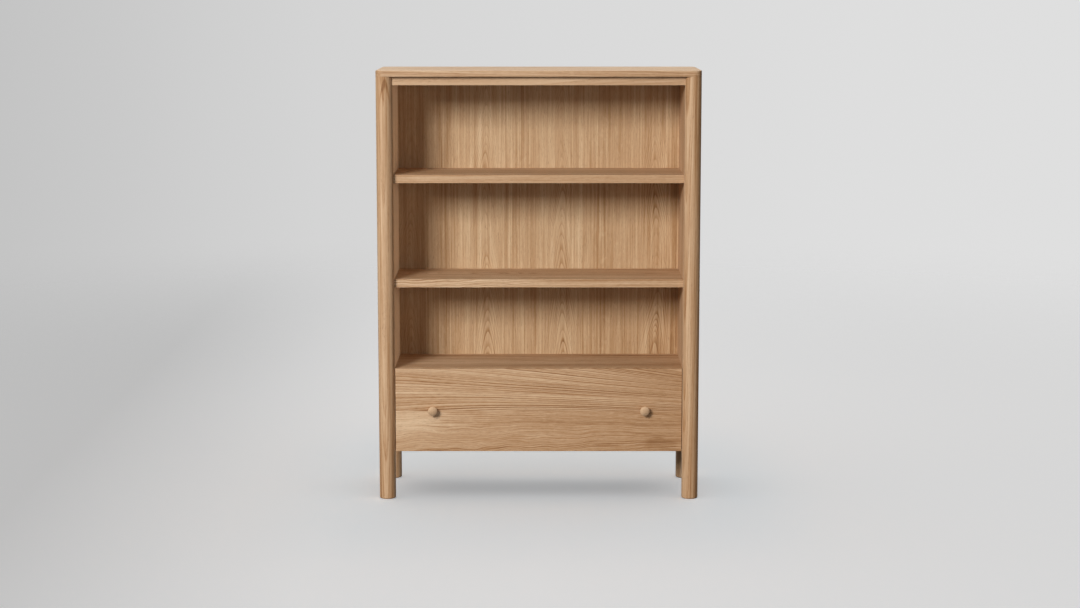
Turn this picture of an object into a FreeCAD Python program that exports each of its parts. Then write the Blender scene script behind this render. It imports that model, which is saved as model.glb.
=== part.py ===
"""Bookcase in oak: four round posts, three open bays and one wide drawer on telescopic slides.

Millimetres. +Z is up, +X is to the viewer's right and -Y faces the viewer. The origin is on the
floor, midway between the sides and midway between the faces of the knobs and the rear of the posts.
"""
import FreeCAD
import Part
import math
import os

from FreeCAD import Vector

# ------------------------------------------------------------------ driving dimensions
# Carcase
WIDTH = 900.0                # across the posts
DEPTH = 314.0                # from the front of the front posts to the rear of the rear posts
POST_DIAMETER = 46.0
POST_HEIGHT = 1188.0         # floor to the underside of the top
POST_FOOT_ROUNDING = 3.5
POST_FOOT_STEPS = 2          # flat bands that make up the rounding
TOP_THICKNESS = 16.5
TOP_ARRIS = 1.5
UNDERSIDE_ARRIS = 0.5
BOARD_ARRIS = 1.0

SIDE_PANEL_INSET = 45.5      # from the outside of the posts to the inner face of a side panel
SIDE_PANEL_THICKNESS = 20.0
SIDE_PANEL_BOTTOM = 136.5
SHELF_SETBACK = 32.0         # shelf and side panel edges behind the front of the posts
BACK_PANEL_SETBACK = 271.0   # front face of the back panel behind the front of the posts
BACK_PANEL_THICKNESS = 8.0
BACK_PANEL_GROOVE = 6.0      # depth of the grooves that hold the back panel

SHELF_THICKNESS = 23.0
UPPER_SHELF_TOP = 915.0
MIDDLE_SHELF_TOP = 622.3
BAY_BOARD_THICKNESS = 20.0   # the boards above and below the drawer
DECK_TOP = 371.0

FACE_SETBACK = 18.0          # drawer front and rail behind the front of the posts
RAIL_HEIGHT = 24.0
RAIL_THICKNESS = 20.0
RAIL_TENON_LENGTH = 15.0
RAIL_TENON_THICKNESS = 9.0
RAIL_TENON_HEIGHT = 15.0
RAIL_TENON_INSET = 2.0       # tenon behind the rail's face and its root inside the shoulder

# Wooden joints
HOUSING_DEPTH = 6.0          # how far the tongues of the boards go into the side panels
HOUSING_STOP = 12.0          # front end of a tongue behind the board's front edge
HOUSING_SHOULDER = 4.0       # shoulder above and below a tongue
POST_TENON_WIDTH = 20.0      # square tenon on each post, glued into the top
POST_TENON_LENGTH = 11.0
TONGUE_THICKNESS = 8.0       # tongue on the side panels, glued into the top
TONGUE_HEIGHT = 8.0
GLUE_GAP = 0.05              # room for glue beside a tenon or a screw
BLIND_END = 0.5              # room past the end of a tenon or a screw

# Drawer
FRONT_GAP = 1.0              # between the drawer front and the posts
FRONT_BOTTOM = 134.5
FRONT_THICKNESS = 20.0
FRONT_ARRIS = 1.5
PAD_THICKNESS = 2.0
PAD_WIDTH = 10.0
PAD_X = 340.0
BOX_BOTTOM = 166.0
BOX_HEIGHT = 160.0
BOX_DEPTH = 215.0
BOX_THICKNESS = 13.0
BOTTOM_THICKNESS = 6.0
BOTTOM_RAISE = 12.0          # underside of the bottom above the lower edge of the sides
BOTTOM_GROOVE = 6.0
DOVETAILS = 4
DOVETAIL_SLOPE = 1.0 / 6.0
PIN_SHARE = 0.32             # share of each pitch that is pin at its narrow side

# Knobs
KNOB_X = 298.0
KNOB_LENGTH = 26.0
KNOB_DIAMETER = 26.4
KNOB_FOOT_DIAMETER = 16.0
KNOB_WAIST_DIAMETER = 13.0
KNOB_WAIST_AT = 6.0
KNOB_WIDEST_AT = 18.7
KNOB_EDGE_RADIUS = 2.4       # from the widest ring to the shallow dome
KNOB_SWELL = 1.4             # how full the curve from waist to head is
KNOB_HOLLOW = 0.35           # how hollow the curve from foot to waist is

# Telescopic slides: three nested channels, with the ball cages between them
SLIDE_LENGTH = 200.0
SLIDE_HEIGHT = 45.5
SLIDE_ROOM = 12.9            # between a side panel and a drawer side
SLIDE_FRONT_GAP = 2.0        # slide behind the back of the drawer front
SLIDE_Z = 246.0
CABINET_SHEET = 1.2
CABINET_DEPTH = 10.2
MIDDLE_SHEET = 1.0
MIDDLE_HEIGHT = 34.4
MIDDLE_FROM = 3.6
MIDDLE_TO = 11.3
DRAWER_SHEET = 1.0
DRAWER_MEMBER_HEIGHT = 24.4
DRAWER_MEMBER_FROM = 5.4
LIP = 2.4                    # turned edge of each channel
BALL_GAP = 0.15              # running room between a ball and its race
CAGE_LENGTH = 96.0
CAGE_THICKNESS = 0.8
CAGE_WIDTH = 4.8
BALLS_PER_ROW = 3
BALL_PITCH = 34.0
OUTER_BALL_AT = 5.9          # ball centres, from the side panel
INNER_BALL_AT = 8.0

# Screws
SCREW_DIAMETER = 3.5
SCREW_LENGTH = 13.0
SCREW_HEAD_DIAMETER = 7.0
SCREW_HEAD_HEIGHT = 1.6
SCREW_TIP_DIAMETER = 0.9
SLIDE_SCREW_STEPS = (24.0, 176.0)
SMALL_SIDES = 8              # flat sides of the small screws and balls
FRONT_SCREW_LENGTH = 26.0
FRONT_SCREW_X = 180.0
FRONT_SCREW_EDGE = 40.0      # from the lower and upper edges of the box
KNOB_SCREW_DIAMETER = 4.0
KNOB_SCREW_LENGTH = 47.0
BOTTOM_SCREW_LENGTH = 22.0
BOTTOM_SCREW_X = 260.0

# ------------------------------------------------------------------ planes worked out from them
POST_RADIUS = POST_DIAMETER / 2
KNOB_OVERHANG = KNOB_LENGTH - FACE_SETBACK
FRONT_Y = (KNOB_OVERHANG - DEPTH) / 2
REAR_Y = FRONT_Y + DEPTH
POST_X = WIDTH / 2 - POST_RADIUS
FRONT_POST_Y = FRONT_Y + POST_RADIUS
REAR_POST_Y = REAR_Y - POST_RADIUS
FACE_Y = FRONT_Y + FACE_SETBACK
EDGE_Y = FRONT_Y + SHELF_SETBACK
BACK_Y = FRONT_Y + BACK_PANEL_SETBACK
PANEL_REAR_Y = REAR_Y - SHELF_SETBACK
INNER_X = WIDTH / 2 - SIDE_PANEL_INSET
OUTER_X = INNER_X + SIDE_PANEL_THICKNESS
FRONT_BACK_Y = FACE_Y + FRONT_THICKNESS
BAY_EDGE_Y = FRONT_BACK_Y + PAD_THICKNESS
FRONT_HALF_WIDTH = POST_X - POST_RADIUS - FRONT_GAP
KNOB_Z = (FRONT_BOTTOM + DECK_TOP) / 2
BAY_FLOOR_TOP = SIDE_PANEL_BOTTOM + BAY_BOARD_THICKNESS
BOX_TOP = BOX_BOTTOM + BOX_HEIGHT
BOX_HALF_WIDTH = INNER_X - SLIDE_ROOM
BOX_REAR_Y = FRONT_BACK_Y + BOX_DEPTH
BOTTOM_Z = BOX_BOTTOM + BOTTOM_RAISE
SLIDE_Y = FRONT_BACK_Y + SLIDE_FRONT_GAP
BAY_FLOOR_Z = BAY_FLOOR_TOP - BAY_BOARD_THICKNESS / 2
DECK_Z = DECK_TOP - BAY_BOARD_THICKNESS / 2

LEFT = -1
RIGHT = 1
SIDES = {"left": LEFT, "right": RIGHT}
ENDS = {"front": FRONT_POST_Y, "rear": REAR_POST_Y}
UPWARDS = Vector(0, 0, 1)
FORWARDS = Vector(0, -1, 0)
OUTWARDS = Vector(1, 0, 0)   # on the right side

os.makedirs("parts", exist_ok=True)


# ------------------------------------------------------------------ small tools
def box(x0, x1, y0, y1, z0, z1):
    """A block between two corners."""
    return Part.makeBox(x1 - x0, y1 - y0, z1 - z0, Vector(x0, y0, z0))


def rod(diameter, start, direction, length):
    """A round bar from a point along a direction."""
    return Part.makeCylinder(diameter / 2, length, start, direction)


def on_side(shape, side):
    """A shape modelled on the right, moved to the given side."""
    if side == RIGHT:
        return shape
    return shape.mirror(Vector(0, 0, 0), Vector(1, 0, 0))


def round_edges(shape, radius, wanted):
    """Fillet the edges that pass a test."""
    edges = [edge for edge in shape.Edges if wanted(edge)]
    return shape.makeFillet(radius, edges)


def cut_all(shape, tools):
    """Cut a list of tools out of a shape."""
    for tool in tools:
        shape = shape.cut(tool)
    return shape


def on_both_sides(shapes):
    """Right-hand shapes and their mirror images."""
    return [on_side(shape, side) for side in SIDES.values() for shape in shapes]


def flat_sided(profile, start, direction):
    """A small turned form with flat sides, from pairs of radius and distance along its axis."""
    turn = FreeCAD.Rotation(UPWARDS, direction)
    angles = [2 * math.pi * k / SMALL_SIDES for k in range(SMALL_SIDES + 1)]
    rings = [[start + turn.multVec(Vector(radius * math.cos(a), radius * math.sin(a), along))
              for a in angles] for radius, along in profile]
    outlines = [rings[0], rings[-1]]
    for near, far in zip(rings, rings[1:]):
        for k in range(SMALL_SIDES):
            outlines.append([near[k], near[k + 1], far[k + 1], far[k], near[k]])
    faces = [Part.Face(Part.makePolygon(outline)) for outline in outlines]
    return Part.Solid(Part.Shell(faces)).removeSplitter()


def save(name, solids):
    """Write one node: a solid, or a group of separate solids."""
    group = solids if isinstance(solids, list) else [solids]
    bodies = [body for shape in group for body in shape.Solids]
    shape = bodies[0] if len(bodies) == 1 else Part.makeCompound(bodies)
    shape.exportStep("parts/" + name + ".step")


# ------------------------------------------------------------------ screws
def screw(seat, direction, length, diameter=SCREW_DIAMETER):
    """A screw with a flat head, which rests on the seat, and a tapered point."""
    head = SCREW_HEAD_DIAMETER / 2
    shank = diameter / 2
    profile = [(shank, -SCREW_HEAD_HEIGHT), (head, -SCREW_HEAD_HEIGHT / 2), (head, 0), (shank, 0),
               (shank, length - diameter), (SCREW_TIP_DIAMETER / 2, length)]
    return flat_sided(profile, seat, direction)


def screw_hole(seat, direction, length, diameter=SCREW_DIAMETER):
    """The hole for the shank of a screw."""
    radius = diameter / 2 + GLUE_GAP
    return flat_sided([(radius, 0), (radius, length + BLIND_END)], seat, direction)


# ------------------------------------------------------------------ carcase
def side_panel_blank():
    """The right side panel with the tongue on its top, before its grooves and holes."""
    board = box(INNER_X, OUTER_X, EDGE_Y, PANEL_REAR_Y, SIDE_PANEL_BOTTOM, POST_HEIGHT)
    x0 = (INNER_X + OUTER_X - TONGUE_THICKNESS) / 2
    tongue = box(x0, x0 + TONGUE_THICKNESS, FRONT_POST_Y + POST_RADIUS, REAR_POST_Y - POST_RADIUS,
                 POST_HEIGHT, POST_HEIGHT + TONGUE_HEIGHT)
    return board.fuse(tongue).removeSplitter()


def back_panel():
    """The back panel, held in grooves in the sides and the top."""
    half = INNER_X + BACK_PANEL_GROOVE
    rear = BACK_Y + BACK_PANEL_THICKNESS
    return box(-half, half, BACK_Y, rear, SIDE_PANEL_BOTTOM, POST_HEIGHT + BACK_PANEL_GROOVE)


def post(side, y):
    """A round post with a tenon on top and a rebate for the side panel."""
    shaft = turned_post(y).cut(side_panel_blank()).fuse(post_tenon(y, 0, POST_TENON_LENGTH))
    if y == FRONT_POST_Y:
        shaft = shaft.cut(rail_tenon())
    return on_side(shaft.removeSplitter(), side)


def turned_post(y):
    """A right post as it comes from the lathe, with its foot rounded over."""
    angles = [math.pi / 2 * k / POST_FOOT_STEPS for k in range(POST_FOOT_STEPS + 1)]
    flat = POST_RADIUS - POST_FOOT_ROUNDING
    rounding = [(flat + POST_FOOT_ROUNDING * math.sin(a), POST_FOOT_ROUNDING * (1 - math.cos(a)))
                for a in angles]
    outline = [(0, 0)] + rounding + [(POST_RADIUS, POST_HEIGHT), (0, POST_HEIGHT), (0, 0)]
    profile = Part.makePolygon([Vector(POST_X + radius, y, z) for radius, z in outline])
    return Part.Face(profile).revolve(Vector(POST_X, y, 0), UPWARDS, 360)


def post_tenon(y, room, length):
    """The square tenon on a right post, or with some room its mortise in the top."""
    half = POST_TENON_WIDTH / 2 + room
    return box(POST_X - half, POST_X + half, y - half, y + half, POST_HEIGHT, POST_HEIGHT + length)


def rail_tenon():
    """The tenon on the right end of the rail."""
    root = POST_X - POST_RADIUS - RAIL_TENON_INSET
    tip = POST_X - POST_RADIUS + RAIL_TENON_LENGTH
    front = FACE_Y + RAIL_TENON_INSET
    middle = POST_HEIGHT - RAIL_HEIGHT / 2
    low = middle - RAIL_TENON_HEIGHT / 2
    return box(root, tip, front, front + RAIL_TENON_THICKNESS, low, low + RAIL_TENON_HEIGHT)


def top_front_rail():
    """The rail below the top, its shoulders scribed round the posts."""
    rear = FACE_Y + RAIL_THICKNESS
    rail = box(-POST_X, POST_X, FACE_Y, rear, POST_HEIGHT - RAIL_HEIGHT, POST_HEIGHT)
    rail = round_edges(rail, UNDERSIDE_ARRIS, is_front_edge(FACE_Y))
    scribe = rod(POST_DIAMETER + 2 * GLUE_GAP, Vector(POST_X, FRONT_POST_Y, 0), UPWARDS, POST_HEIGHT)
    beside_panel = box(INNER_X, POST_X, EDGE_Y, rear, POST_HEIGHT - RAIL_HEIGHT, POST_HEIGHT)
    rail = cut_all(rail, on_both_sides([scribe, beside_panel]))
    return rail.fuse(on_both_sides([rail_tenon()])).removeSplitter()


def is_front_edge(y):
    """A test for the long horizontal edges in the plane of a front face."""
    return lambda e: abs(e.BoundBox.YMin - y) < 0.01 and abs(e.BoundBox.YMax - y) < 0.01 \
        and e.BoundBox.XLength > WIDTH / 2


def top_panel():
    """The top: rounded corners over the posts and a softened edge all round."""
    board = box(-WIDTH / 2, WIDTH / 2, FRONT_Y, REAR_Y, POST_HEIGHT, POST_HEIGHT + TOP_THICKNESS)
    board = round_edges(board, POST_RADIUS, lambda e: e.BoundBox.ZLength > TOP_THICKNESS / 2)
    upper = POST_HEIGHT + TOP_THICKNESS
    board = round_edges(board, TOP_ARRIS, lambda e: e.BoundBox.ZMin > upper - 0.01)
    lower = [edge for edge in board.Edges if edge.BoundBox.ZMax < POST_HEIGHT + 0.01]
    board = board.makeChamfer(UNDERSIDE_ARRIS, lower)
    mortises = [post_tenon(y, GLUE_GAP, POST_TENON_LENGTH + BLIND_END) for y in ENDS.values()]
    return cut_all(board, on_both_sides(mortises + [side_panel_blank()]) + [back_panel()])


def side_panel(side):
    """A side panel with its grooves, its housings and the holes for the slide's screws."""
    holes = [screw_hole(*place) for place in cabinet_screw_places()]
    return on_side(cut_all(side_panel_blank(), [back_panel()] + list(shelves().values()) + holes), side)


def shelves():
    """Every board that spans between the side panels."""
    return {"upper_shelf": shelf(UPPER_SHELF_TOP, SHELF_THICKNESS, EDGE_Y),
            "middle_shelf": shelf(MIDDLE_SHELF_TOP, SHELF_THICKNESS, EDGE_Y),
            "drawer_bay_deck": shelf(DECK_TOP, BAY_BOARD_THICKNESS, BAY_EDGE_Y),
            "drawer_bay_floor": shelf(BAY_FLOOR_TOP, BAY_BOARD_THICKNESS, BAY_EDGE_Y)}


def shelf(top, thickness, front):
    """A board with a shouldered tongue on each end, in stopped housings in the side panels."""
    board = box(-INNER_X, INNER_X, front, BACK_Y, top - thickness, top)
    board = round_edges(board, BOARD_ARRIS, is_front_edge(front))
    half = INNER_X + HOUSING_DEPTH
    tongues = box(-half, half, front + HOUSING_STOP, BACK_Y,
                  top - thickness + HOUSING_SHOULDER, top - HOUSING_SHOULDER)
    return board.fuse(tongues).removeSplitter()


def pads():
    """Soft pads on the edges of the drawer bay, where the drawer front closes."""
    half = PAD_WIDTH / 2
    return [box(x - half, x + half, FRONT_BACK_Y, BAY_EDGE_Y, z - half, z + half)
            for x in (-PAD_X, PAD_X) for z in (BAY_FLOOR_Z, DECK_Z)]


# ------------------------------------------------------------------ drawer box
BOX_INNER_X = BOX_HALF_WIDTH - BOX_THICKNESS
BOX_INNER_FRONT_Y = FRONT_BACK_Y + BOX_THICKNESS
BOX_INNER_REAR_Y = BOX_REAR_Y - BOX_THICKNESS
BACK_BOARD_Z = BOTTOM_Z + BOTTOM_THICKNESS


def dovetail(end_y, shoulder_y, low, high):
    """One tail of the right side: a wedge, widest at the end of the board."""
    flare = BOX_THICKNESS * DOVETAIL_SLOPE
    corners = [Vector(BOX_INNER_X, shoulder_y, low), Vector(BOX_INNER_X, shoulder_y, high),
               Vector(BOX_INNER_X, end_y, high + flare), Vector(BOX_INNER_X, end_y, low - flare)]
    face = Part.Face(Part.makePolygon(corners + corners[:1]))
    return face.extrude(Vector(BOX_THICKNESS, 0, 0))


def tails(end_y, shoulder_y, z0):
    """The row of tails at one end of the right side, from a height up to the rim."""
    pitch = (BOX_TOP - z0) / DOVETAILS
    half_pin = pitch * PIN_SHARE / 2
    return [dovetail(end_y, shoulder_y, z0 + pitch * k + half_pin, z0 + pitch * (k + 1) - half_pin)
            for k in range(DOVETAILS)]


def front_tails():
    """Tails at the front end of the right side."""
    return tails(FRONT_BACK_Y, BOX_INNER_FRONT_Y, BOX_BOTTOM)


def rear_tails():
    """Tails at its rear end, above the drawer bottom."""
    return tails(BOX_REAR_Y, BOX_INNER_REAR_Y, BACK_BOARD_Z)


def pins():
    """What the ends of the front and back boards fill between those tails."""
    front = box(BOX_INNER_X, BOX_HALF_WIDTH, FRONT_BACK_Y, BOX_INNER_FRONT_Y, BOX_BOTTOM, BOX_TOP)
    rear = box(BOX_INNER_X, BOX_HALF_WIDTH, BOX_INNER_REAR_Y, BOX_REAR_Y, BACK_BOARD_Z, BOX_TOP)
    return [cut_all(front, front_tails()), cut_all(rear, rear_tails())]


def drawer_bottom_blank():
    """The thin bottom before its screw holes, which is also the shape of its grooves."""
    half = BOX_HALF_WIDTH - BOX_THICKNESS + BOTTOM_GROOVE
    front = FRONT_BACK_Y + BOX_THICKNESS - BOTTOM_GROOVE
    return box(-half, half, front, BOX_REAR_Y, BOTTOM_Z, BOTTOM_Z + BOTTOM_THICKNESS)


def drawer_bottom():
    """The bottom, in grooves in the front and sides and screwed up into the back."""
    return cut_all(drawer_bottom_blank(), [screw_hole(*place) for place in bottom_screw_places()])


def drawer_side(side):
    """A side of the box, with tails at both ends."""
    board = box(BOX_INNER_X, BOX_HALF_WIDTH, FRONT_BACK_Y, BOX_REAR_Y, BOX_BOTTOM, BOX_TOP)
    board = cut_all(board, pins() + [drawer_bottom_blank()])
    board = cut_all(board, [screw_hole(*place) for place in drawer_screw_places()])
    return on_side(board, side)


def drawer_box_front():
    """The front board of the box, with pins at both ends."""
    board = box(-BOX_HALF_WIDTH, BOX_HALF_WIDTH, FRONT_BACK_Y, BOX_INNER_FRONT_Y, BOX_BOTTOM, BOX_TOP)
    board = cut_all(board, on_both_sides(front_tails()) + [drawer_bottom_blank()])
    return cut_all(board, front_holes())


def drawer_back():
    """The back board of the box, which stands on the bottom."""
    board = box(-BOX_HALF_WIDTH, BOX_HALF_WIDTH, BOX_INNER_REAR_Y, BOX_REAR_Y, BACK_BOARD_Z, BOX_TOP)
    board = cut_all(board, on_both_sides(rear_tails()))
    return cut_all(board, [screw_hole(*place) for place in bottom_screw_places()])


def drawer_front():
    """The wide front that covers the bay, with softened edges."""
    half = FRONT_HALF_WIDTH
    board = box(-half, half, FACE_Y, FRONT_BACK_Y, FRONT_BOTTOM, DECK_TOP)
    board = round_edges(board, FRONT_ARRIS, lambda e: e.BoundBox.YMax < FACE_Y + 0.01)
    return cut_all(board, front_holes())


# ------------------------------------------------------------------ fasteners of the drawer
def front_screw_places():
    """Screws from inside the box into the drawer front."""
    rows = (BOX_BOTTOM + FRONT_SCREW_EDGE, BOX_TOP - FRONT_SCREW_EDGE)
    return [(Vector(x, BOX_INNER_FRONT_Y, z), FORWARDS, FRONT_SCREW_LENGTH)
            for x in (-FRONT_SCREW_X, FRONT_SCREW_X) for z in rows]


def bottom_screw_places():
    """Screws up through the bottom into the back."""
    y = BOX_REAR_Y - BOX_THICKNESS / 2
    return [(Vector(x, y, BOTTOM_Z), UPWARDS, BOTTOM_SCREW_LENGTH)
            for x in (-BOTTOM_SCREW_X, 0, BOTTOM_SCREW_X)]


def knob_screw_places():
    """Long screws from inside the box, through both fronts, into the knobs."""
    return [(Vector(x, BOX_INNER_FRONT_Y, KNOB_Z), FORWARDS, KNOB_SCREW_LENGTH, KNOB_SCREW_DIAMETER)
            for x in (-KNOB_X, KNOB_X)]


def front_holes():
    """The screw holes that the box front and the drawer front share."""
    return [screw_hole(*place) for place in front_screw_places() + knob_screw_places()]


def knob():
    """The right knob: a foot, a waist and a head with a rounded edge and a shallow dome."""
    foot = KNOB_FOOT_DIAMETER / 2
    waist = KNOB_WAIST_DIAMETER / 2
    widest = KNOB_DIAMETER / 2
    edge = KNOB_EDGE_RADIUS
    rise = KNOB_LENGTH - KNOB_WIDEST_AT
    dome_radius = ((widest - edge) ** 2 + rise ** 2 - edge ** 2) / (2 * (rise - edge))
    dome_centre = KNOB_LENGTH - dome_radius
    spread = math.asin((widest - edge) / (dome_radius - edge))
    bore = KNOB_SCREW_DIAMETER / 2 + GLUE_GAP
    depth = KNOB_SCREW_LENGTH + BLIND_END - BOX_THICKNESS - FRONT_THICKNESS

    def at(radius, out):
        return Vector(KNOB_X + radius, FACE_Y - out, KNOB_Z)

    def on_edge(angle):
        return at(widest - edge + edge * math.sin(angle), KNOB_WIDEST_AT + edge * math.cos(angle))

    base = at(foot, 0)
    neck = at(waist, KNOB_WAIST_AT)
    swell = at((waist + widest) / 2 + KNOB_SWELL, (KNOB_WAIST_AT + KNOB_WIDEST_AT) / 2)
    rim = at(widest, KNOB_WIDEST_AT)
    dome_start = on_edge(spread)
    dome_middle = at(dome_radius * math.sin(spread / 2), dome_centre + dome_radius * math.cos(spread / 2))
    tip = at(0, KNOB_LENGTH)
    cove = at((foot + waist) / 2 - KNOB_HOLLOW, KNOB_WAIST_AT / 2)
    curves = [Part.Arc(base, cove, neck), Part.Arc(neck, swell, rim),
              Part.Arc(rim, on_edge((spread + math.pi / 2) / 2), dome_start),
              Part.Arc(dome_start, dome_middle, tip)]
    corners = [tip, at(0, depth), at(bore, depth), at(bore, 0), base]
    edges = [curve.toShape() for curve in curves]
    edges += [Part.makeLine(a, b) for a, b in zip(corners, corners[1:])]
    profile = Part.Face(Part.Wire(edges))
    return profile.revolve(at(0, 0), FORWARDS, 360)


# ------------------------------------------------------------------ telescopic slides
def channel(web_at, edge_at, height, sheet):
    """A folded channel along Y with its edges turned in, between two distances from the panel."""
    signed_sheet = math.copysign(sheet, edge_at - web_at)
    web = web_at + signed_sheet
    edge = edge_at - signed_sheet
    half = height / 2 - sheet
    lip = height / 2 - LIP
    inside = [(edge, lip), (edge, half), (web, half), (web, -half), (edge, -half), (edge, -lip)]
    line = Part.makePolygon([Vector(INNER_X - s, SLIDE_Y, SLIDE_Z + z) for s, z in inside])
    strip = line.makeOffset2D(signed_sheet, 0, True, True)
    return strip.extrude(Vector(0, SLIDE_LENGTH, 0))


def cabinet_slide(side):
    """The outer channel, screwed to the side panel."""
    member = channel(0, CABINET_DEPTH, SLIDE_HEIGHT, CABINET_SHEET)
    member = cut_all(member, [screw_hole(*place) for place in cabinet_screw_places()])
    return on_side(member, side)


def middle_slide(side):
    """The middle channel."""
    return on_side(channel(MIDDLE_FROM, MIDDLE_TO, MIDDLE_HEIGHT, MIDDLE_SHEET), side)


def drawer_slide(side):
    """The inner channel, screwed to the drawer side."""
    member = channel(SLIDE_ROOM, DRAWER_MEMBER_FROM, DRAWER_MEMBER_HEIGHT, DRAWER_SHEET)
    member = cut_all(member, [screw_hole(*place) for place in drawer_screw_places()])
    return on_side(member, side)


def ball_cage(side, at, outer_race, inner_race):
    """An upper and a lower strip, each with its row of balls between two races."""
    centre = (outer_race + inner_race) / 2
    radius = (outer_race - inner_race) / 2 - BALL_GAP
    y0 = SLIDE_Y + (SLIDE_LENGTH - CAGE_LENGTH) / 2
    x = INNER_X - at
    strips = []
    for level in (SLIDE_Z - centre, SLIDE_Z + centre):
        strip = box(x - CAGE_WIDTH / 2, x + CAGE_WIDTH / 2, y0, y0 + CAGE_LENGTH,
                    level - CAGE_THICKNESS / 2, level + CAGE_THICKNESS / 2)
        first = SLIDE_Y + SLIDE_LENGTH / 2 - BALL_PITCH * (BALLS_PER_ROW - 1) / 2
        balls = [ball(radius, Vector(x, first + BALL_PITCH * k, level)) for k in range(BALLS_PER_ROW)]
        strips.append(on_side(strip.fuse(balls), side))
    return strips


def ball(radius, centre):
    """A ball with flat sides, its axis along the slide."""
    bands = SMALL_SIDES // 2
    latitudes = [math.pi / bands * (k + 0.5) for k in range(bands)]
    profile = [(radius * math.sin(a), -radius * math.cos(a)) for a in latitudes]
    return flat_sided(profile, centre, FORWARDS)


def cabinet_screw_places():
    """Screws from the outer channel into the right side panel."""
    x = INNER_X - CABINET_SHEET
    return [(Vector(x, SLIDE_Y + step, SLIDE_Z), OUTWARDS, SCREW_LENGTH)
            for step in SLIDE_SCREW_STEPS]


def drawer_screw_places():
    """Screws from the inner channel into the right drawer side."""
    x = INNER_X - SLIDE_ROOM + DRAWER_SHEET
    return [(Vector(x, SLIDE_Y + step, SLIDE_Z), OUTWARDS * -1, SCREW_LENGTH)
            for step in SLIDE_SCREW_STEPS]


# ------------------------------------------------------------------ write every node
save("top_panel", top_panel())
save("back_panel", back_panel())
save("top_front_rail", top_front_rail())
for name, board in shelves().items():
    save(name, board)
save("drawer_stop_pads", pads())
save("drawer_front", drawer_front())
save("drawer_box_front", drawer_box_front())
save("drawer_back", drawer_back())
save("drawer_bottom", drawer_bottom())
save("drawer_front_screws", [screw(*place) for place in front_screw_places()])
save("drawer_bottom_screws", [screw(*place) for place in bottom_screw_places()])
save("knob_screws", [screw(*place) for place in knob_screw_places()])
save("knobs", on_both_sides([knob()]))
save("cabinet_slide_screws", on_both_sides([screw(*place) for place in cabinet_screw_places()]))
save("drawer_slide_screws", on_both_sides([screw(*place) for place in drawer_screw_places()]))

OUTER_RACES = (SLIDE_HEIGHT / 2 - CABINET_SHEET, MIDDLE_HEIGHT / 2)
INNER_RACES = (MIDDLE_HEIGHT / 2 - MIDDLE_SHEET, DRAWER_MEMBER_HEIGHT / 2)
for name, side in SIDES.items():
    for end, y in ENDS.items():
        save(end + "_" + name + "_post", post(side, y))
    save(name + "_side_panel", side_panel(side))
    save("drawer_" + name + "_side", drawer_side(side))
    save(name + "_cabinet_slide", cabinet_slide(side))
    save(name + "_middle_slide", middle_slide(side))
    save(name + "_drawer_slide", drawer_slide(side))
    save(name + "_outer_ball_cage", ball_cage(side, OUTER_BALL_AT, *OUTER_RACES))
    save(name + "_inner_ball_cage", ball_cage(side, INNER_BALL_AT, *INNER_RACES))
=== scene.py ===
"""The looks of the oak bookcase: materials, small hardware, floor, light and camera.

Metres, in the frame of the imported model: +Z up, +X to the viewer's right, -Y towards the viewer.
The small hardware is drawn in millimetres, and piece() brings it to metres.
"""
import math

import bmesh
import bpy
from mathutils import Matrix, Vector


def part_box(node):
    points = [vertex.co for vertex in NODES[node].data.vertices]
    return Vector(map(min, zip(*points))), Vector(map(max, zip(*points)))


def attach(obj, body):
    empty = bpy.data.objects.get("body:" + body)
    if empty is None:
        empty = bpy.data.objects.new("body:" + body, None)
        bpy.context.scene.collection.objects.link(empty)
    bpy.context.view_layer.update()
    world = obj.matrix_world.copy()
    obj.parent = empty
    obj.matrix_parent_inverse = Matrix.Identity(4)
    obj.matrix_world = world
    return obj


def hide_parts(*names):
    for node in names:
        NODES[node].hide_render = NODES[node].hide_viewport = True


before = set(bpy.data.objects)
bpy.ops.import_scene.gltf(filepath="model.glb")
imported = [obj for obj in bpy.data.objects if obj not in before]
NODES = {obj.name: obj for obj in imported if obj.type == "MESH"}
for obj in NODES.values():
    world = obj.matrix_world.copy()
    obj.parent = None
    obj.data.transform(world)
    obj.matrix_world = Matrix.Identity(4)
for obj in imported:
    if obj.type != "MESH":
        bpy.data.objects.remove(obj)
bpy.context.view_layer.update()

MM = 0.001
SIDES = ("left", "right")


# ------------------------------------------------------------------ colours
def linear(value):
    """One sRGB channel, 0 to 255, as a linear number."""
    value /= 255
    return value / 12.92 if value <= 0.04045 else ((value + 0.055) / 1.055) ** 2.4


def paint(red, green, blue):
    """An sRGB colour as linear RGBA."""
    return (linear(red), linear(green), linear(blue), 1.0)


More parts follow.
